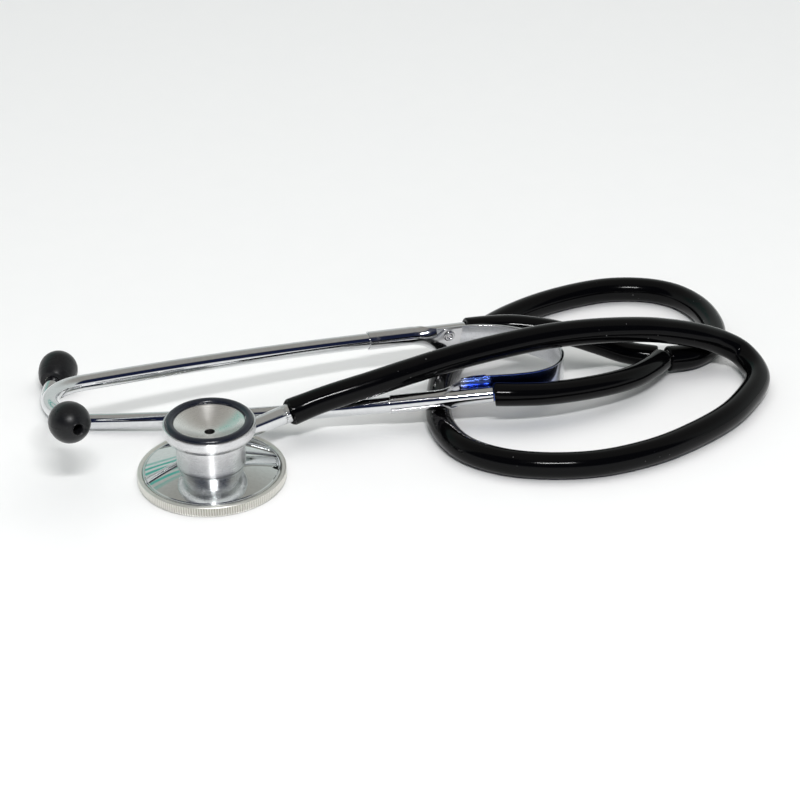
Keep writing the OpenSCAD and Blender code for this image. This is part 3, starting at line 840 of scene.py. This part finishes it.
def tip_outline(lower):
    """Egg-shaped tip; lower is the half length of the egg's end towards the tube."""
    r, length, base = 6.45, 13.6, 0.15
    middle = length - r
    outline = [(2.75, 0.7), (3.72, 0.7), (3.72, 9.2)]
    outline += [(TIP_HOLE_R, 9.2), (TIP_HOLE_R, 12.9), (1.62, 13.2), (1.9, 13.42)]
    for k in range(31):
        a = math.radians(72 - 72 * k / 30)
        outline.append((r * math.cos(a), middle + (r - 0.02) * math.sin(a)))
    for k in range(1, 30):
        a = math.acos(1 - k / 30 * (1 - (1 - ((middle - base) / lower) ** 2) ** 0.5))
        outline.append((r * math.cos(a), middle - lower * math.sin(a)))
    edge = r * (1 - ((middle - base) / lower) ** 2) ** 0.5
    return outline + [(edge - 0.05, base + 0.05), (edge - 0.3, base - 0.05), (2.75, base)]


def parting_line(r, z, angle):
    """Thin raised seam on both sides of the moulding, and a fine groove above its base."""
    if r < 4.3 or z < 0.3:
        return r
    off = min(abs(math.sin(angle / 2)), abs(math.cos(angle / 2))) * 2 * r
    seam = 0.05 * math.exp(-((off / 0.16) ** 2))
    groove = -0.07 * math.exp(-(((z - 2.6) / 0.14) ** 2))
    return r + seam + groove


for arm, facts in ARMS.items():
    place = arm_place(arm, "ear_roll")
    body = arm + "_ear"
    local, end, out = ear_route(facts["tail"])
    route = Route([place @ p for p in local])
    outline = tube_outline(route.length, EAR_R, EAR_BORE, edge=0.3, step=1.2)
    pipe = sweep(arm + "_ear_pipe", route, outline, 64)
    finish_piece(pipe, body, "chrome", chrome, arm + "_ear_tube")
    tip_place = along_place(place, end, out)
    egg = tip_outline(facts["tip_lower"])
    tip = lathe(arm + "_ear_bud", egg, 224, tip_place, parting_line, 45)
    finish_piece(tip, body, "soft_plastic", ear_tip_plastic, arm + "_ear_tip")
    insert = rounded(
        [(2.62, 0.75, 0.1), (3.65, 0.75, 0.1), (3.65, 1.3, 0.1), (3.5, 1.35, 0)]
        + [(3.7 if k % 2 else 3.5, 1.5 + 0.35 * k, 0) for k in range(21)]
        + [(3.5, 9, 0.1), (2.62, 9, 0.1)],
        2,
    )
    finish_piece(
        lathe(arm + "_insert", insert, 96, tip_place), body, "brass", brass, arm + "_tip_insert"
    )

# ---- Clasps ----

# The rolled sheet's middle radius and thickness, and the half widths it has rolled and flat
WRAP_R, SHEET = 2.88, 0.42
WRAP_UPPER, WRAP_LOWER, PLATE_HALF = 7.1, 8.6, 4.7
# The spring's strip: how far its inner face is from the ear tube's axis, its thickness and height
STRIP_IN, STRIP_T, STRIP_H = 3.7, 0.8, 9.4
PLATE_MID = STRIP_IN + STRIP_T + 0.15 + 0.3
PLATE_END, RIVET_X = 31.5, 27


def ease(t):
    t = min(max(t, 0), 1)
    return t * t * (3 - 2 * t)


def clasp_section(x, v):
    """Middle of the rolled sheet at x along the clasp, with v from -1, lower edge, to 1, upper edge."""
    open_up = ease((x - 16.5) / 11.5)
    curve = (1 - open_up) / WRAP_R
    upper = WRAP_UPPER + (PLATE_HALF - WRAP_UPPER) * ease((x - 15.8) / 5.5)
    lower = WRAP_LOWER + (PLATE_HALF - WRAP_LOWER) * ease((x - 15.5) / 8.0)
    s = v * (upper if v > 0 else lower)
    base_y = WRAP_R + (PLATE_MID - WRAP_R) * ease((x - 15) / 9)
    if curve < 1e-4:
        return Vector((x, base_y, s))
    angle = curve * abs(s)
    side = math.copysign(math.sin(angle) / curve, s)
    return Vector((x, base_y - (1 - math.cos(angle)) / curve, side))


def clasp(arm):
    """Sheet metal rolled round the ear tube, opening into the flat plate that carries the spring."""
    facts = ARMS[arm]
    place = arm_place(arm, "clasp_roll")
    xs = [0.4 * k for k in range(79)] + [PLATE_END]
    vs = [-1 + 2 * k / 72 for k in range(73)]
    grid = [[clasp_section(x, v) for v in vs] for x in xs]
    points, faces = [], []
    for i, row in enumerate(grid):
        for k, p in enumerate(row):
            before, after = grid[max(i - 1, 0)][k], grid[min(i + 1, len(grid) - 1)][k]
            low, high = row[max(k - 1, 0)], row[min(k + 1, len(row) - 1)]
            normal = (after - before).cross(high - low).normalized()
            for side in (1, -1):
                points.append(place @ (p + normal * (side * SHEET / 2)))
    wide, last, top = len(vs), len(grid) - 1, len(vs) - 1

    def index(i, k):
        """Outer point at (i, k); the inner one follows it."""
        return (i * wide + k) * 2

    def wall(a, b):
        """Face through the sheet's thickness between two outer points."""
        faces.append((a, a + 1, b + 1, b))

    for i in range(last):
        for k in range(top):
            a, b, c, d = index(i, k), index(i + 1, k), index(i + 1, k + 1), index(i, k + 1)
            faces.append((a, b, c, d))
            faces.append((d + 1, c + 1, b + 1, a + 1))
    for k in range(top):
        wall(index(0, k + 1), index(0, k))
        wall(index(last, k), index(last, k + 1))
    for i in range(last):
        wall(index(i, 0), index(i + 1, 0))
        wall(index(i + 1, top), index(i, top))
    if arm == "rear":
        faces = [tuple(reversed(f)) for f in faces]
    piece = add_mesh(arm + "_clasp_sheet", points, faces, None, 35)
    bevel = piece.modifiers.new("edges", "BEVEL")
    bevel.width = 0.0001
    bevel.segments = 2
    bevel.angle_limit = math.radians(60)
    with bpy.context.temp_override(object=piece, active_object=piece):
        bpy.ops.object.modifier_apply(modifier="edges")
    finish_piece(piece, arm + "_arm", "chrome", facts["clasp_metal"], arm + "_clasp")
    rivet_place = along_place(place, (RIVET_X, 0, facts["rivet_up"]), (0, 1, 0))
    under = PLATE_MID + SHEET / 2
    outline = rounded(
        [(0, STRIP_IN, 0), (1.2, STRIP_IN, 0.1), (1.2, under, 0), (1.9, under, 0.05)]
        + [(1.9, under + 0.3, 0.2), (1.5, under + 0.55, 0.15), (1.05, under + 0.5, 0.2)]
        + [(0.75, under + 0.05, 0.2), (0, under, 0)],
        4,
    )
    rivet = lathe(arm + "_rivet_head", outline, 72, rivet_place)
    finish_piece(rivet, arm + "_arm", "chrome", clasp_metal, arm + "_rivet")


for arm in ARMS:
    clasp(arm)

# ---- Leaf spring ----


def beside(arm, x):
    """Middle of the strip at x along an arm's clasp."""
    return arm_place(arm, "clasp_roll") @ Vector((x, STRIP_IN + STRIP_T / 2, 0))


# The strip's bow between the clasps, and its lean in degrees at every point of its whole route
STRIP_BOW = [
    (88, 65.4, 13.2), (96, 64.2, 13.1), (104, 60.4, 13), (110.5, 54, 13), (113.2, 46, 12.9),
    (111.2, 38.8, 12.7), (105.5, 34.4, 12.6), (97.5, 32, 12.8),
]
STRIP_LEANS = [8, 8, 8, 8, 7, 5, 3, 0, 0, 0, 0, 0, 0, 0]
HALFWAY = 7


def leaf_spring(name, first, last):
    """Half of the spring's strip, between two points of its route."""
    path = [beside("rear", x) for x in (23, 28, 33)]
    path += [Vector(p) for p in STRIP_BOW]
    path += [beside("front", x) for x in (33, 28, 23)]
    steps = 14
    points = smooth_route(path, steps)
    leans = []
    for i in range(len(points)):
        k, t = divmod(i / steps, 1)
        k = min(int(k), len(STRIP_LEANS) - 2)
        leans.append(STRIP_LEANS[k] * (1 - t) + STRIP_LEANS[k + 1] * t)
    half_t, half_h, edge = STRIP_T / 2, STRIP_H / 2, 0.16
    signs = ((1, 1), (-1, 1), (-1, -1), (1, -1))
    section = rounded([(i * half_t, j * half_h, edge) for i, j in signs], 3)
    mesh_points, faces, uvs = [], [], []
    distance = 0.0
    start = first * steps
    chosen = range(start, last * steps + 1)
    for i in chosen:
        before, after = points[max(i - 1, 0)], points[min(i + 1, len(points) - 1)]
        along = (after - before).normalized()
        across = Vector((along.y, -along.x, 0)).normalized()
        lean = math.radians(leans[i])
        up = math.sin(lean) * across + math.cos(lean) * Vector((0, 0, 1))
        flat = math.cos(lean) * across - math.sin(lean) * Vector((0, 0, 1))
        for x, z in section:
            mesh_points.append(points[i] - flat * x + up * z)
    count = len(section)
    for i in range(len(chosen) - 1):
        step = (points[start + i + 1] - points[start + i]).length
        for k in range(count):
            m = (k + 1) % count
            faces.append((i * count + k, i * count + m, (i + 1) * count + m, (i + 1) * count + k))
            v0, v1 = section[k][1] * MM, section[m][1] * MM
            reached = distance + step * MM
            uvs += [(v0, distance), (v1, distance), (v1, reached), (v0, reached)]
        distance += step * MM
    last_ring = (len(chosen) - 1) * count
    faces.append(tuple(reversed(range(count))))
    faces.append(tuple(last_ring + k for k in range(count)))
    uvs += [(0, 0)] * (2 * count)
    return add_mesh(name, mesh_points, faces, uvs, 40)


rear_half = leaf_spring("leaf_spring_rear_half", 0, HALFWAY)
front_half = leaf_spring("leaf_spring_front_half", HALFWAY, len(STRIP_LEANS) - 1)
for piece, material, arm, start, end in (
    (rear_half, strip_metal, "rear_arm", (82, 64, 13), (112.5, 49, 13)),
    (front_half, strip_with_painted_reflection, "front_arm", (90, 31, 13), (112.5, 44, 13)),
):
    finish_piece(piece, (arm, "root", start, end), "chrome", material, "leaf_spring")

# ---- Table, lights and surroundings ----


def table():
    """A plain pale table top, much larger than the view."""
    size = 6000
    corners = [(-size, -size, 0), (size, -size, 0), (size, size, 0), (-size, size, 0)]
    floor = add_mesh("table_top", corners, [(0, 1, 2, 3)])
    m = Material("pale_table", (0.88, 0.88, 0.88), 0, 0.7, Specular_IOR_Level=0.1)
    grain = m.noise(m.place(), 90, 3)
    m.mix(grain, (0.875, 0.876, 0.878), (0.89, 0.89, 0.89))
    m.roughen(m.ramp(grain, 0.3, 0.7, 0.5, 0.7))
    floor.data.materials.append(m.data)


table()


def area_light(name, at, target, size, energy, in_gloss=True):
    data = bpy.data.lights.new(name, "AREA")
    data.shape = "RECTANGLE"
    data.size, data.size_y = size
    data.energy = energy
    light = bpy.data.objects.new(name, data)
    bpy.context.scene.collection.objects.link(light)
    direction = Vector(target) - Vector(at)
    light.matrix_world = Matrix.Translation(at) @ direction.to_track_quat("-Z", "Y").to_matrix().to_4x4()
    light.visible_glossy = in_gloss
    return light


area_light("key_window", (0.12, -0.72, 0.86), (0.05, 0.03, 0), (0.3, 0.06), 7)
area_light("soft_ceiling", (0.1, 0.1, 1.7), (0.06, 0.04, 0), (2.2, 2.2), 19, in_gloss=False)


def low_window(receivers):
    """Narrow upright light in front, which only draws the highlight down the turned barrel."""
    light = area_light("low_window", (0.0622, -0.702, 0.1), (0, 0, 0.012), (0.05, 0.24), 2.2)
    group = bpy.data.collections.new("lit_by_low_window")
    for obj in receivers:
        group.objects.link(obj)
    light.light_linking.receiver_collection = group


low_window([barrel])


def surroundings():
    """Soft room for the reflections: pale behind, with a green cloth, and dark bluish in front.

    In front it is white low down and grey overhead. The camera itself sees plain pale grey.
    """
    world = bpy.data.worlds.new("studio")
    bpy.context.scene.world = world
    world.use_nodes = True
    tree = world.node_tree
    tree.nodes.clear()
    new, link = tree.nodes.new, tree.links.new
    where = new("ShaderNodeTexCoord")
    parts = new("ShaderNodeSeparateXYZ")
    link(where.outputs["Generated"], parts.inputs[0])

    def step(value, low, high, start=0.0, end=1.0):
        node = new("ShaderNodeMapRange")
        node.interpolation_type = "SMOOTHSTEP"
        for key, number in (("From Min", low), ("From Max", high), ("To Min", start), ("To Max", end)):
            node.inputs[key].default_value = number
        link(value, node.inputs["Value"])
        return node.outputs["Result"]

    def times(a, b):
        node = new("ShaderNodeMath")
        node.operation = "MULTIPLY"
        link(a, node.inputs[0])
        link(b, node.inputs[1])
        return node.outputs[0]

    def mixed(factor, a, b):
        node = new("ShaderNodeMix")
        node.data_type = "RGBA"
        link(factor, node.inputs["Factor"])
        for socket, color in ((node.inputs["A"], a), (node.inputs["B"], b)):
            if isinstance(color, tuple):
                socket.default_value = (*color, 1)
            else:
                link(color, socket)
        return node.outputs["Result"]

    x, y, z = parts.outputs
    back = mixed(step(z, 0.3, 0.85), (0.82, 0.87, 0.85), (0.44, 0.43, 0.4))
    front_low = mixed(step(z, 0.12, 0.3), (1.15, 1.16, 1.18), (0.014, 0.02, 0.055))
    front = mixed(step(z, 0.86, 0.95), front_low, (0.36, 0.35, 0.33))
    room = mixed(step(y, -0.12, -0.3), back, front)
    stripes = new("ShaderNodeTexWave")
    stripes.wave_type = "BANDS"
    stripes.bands_direction = "Z"
    stripes.inputs["Scale"].default_value = 5.5
    stripes.inputs["Distortion"].default_value = 2.2
    link(where.outputs["Generated"], stripes.inputs["Vector"])
    side = times(step(x, -0.08, -0.3), times(step(z, 0.3, 0.42), step(z, 0.72, 0.6)))
    cloth = times(times(side, step(stripes.outputs["Fac"], 0.35, 0.65)), step(y, 0.15, 0.4))
    room = mixed(cloth, room, (0.12, 0.52, 0.44))
    ray = new("ShaderNodeLightPath")
    room = mixed(ray.outputs["Is Camera Ray"], room, (0.93, 0.93, 0.93))
    glow = new("ShaderNodeBackground")
    glow.inputs["Strength"].default_value = 0.82
    link(room, glow.inputs["Color"])
    out = new("ShaderNodeOutputWorld")
    link(glow.outputs[0], out.inputs["Surface"])


surroundings()
scene = bpy.context.scene
scene.view_settings.view_transform = "Standard"
scene.view_settings.look = "None"
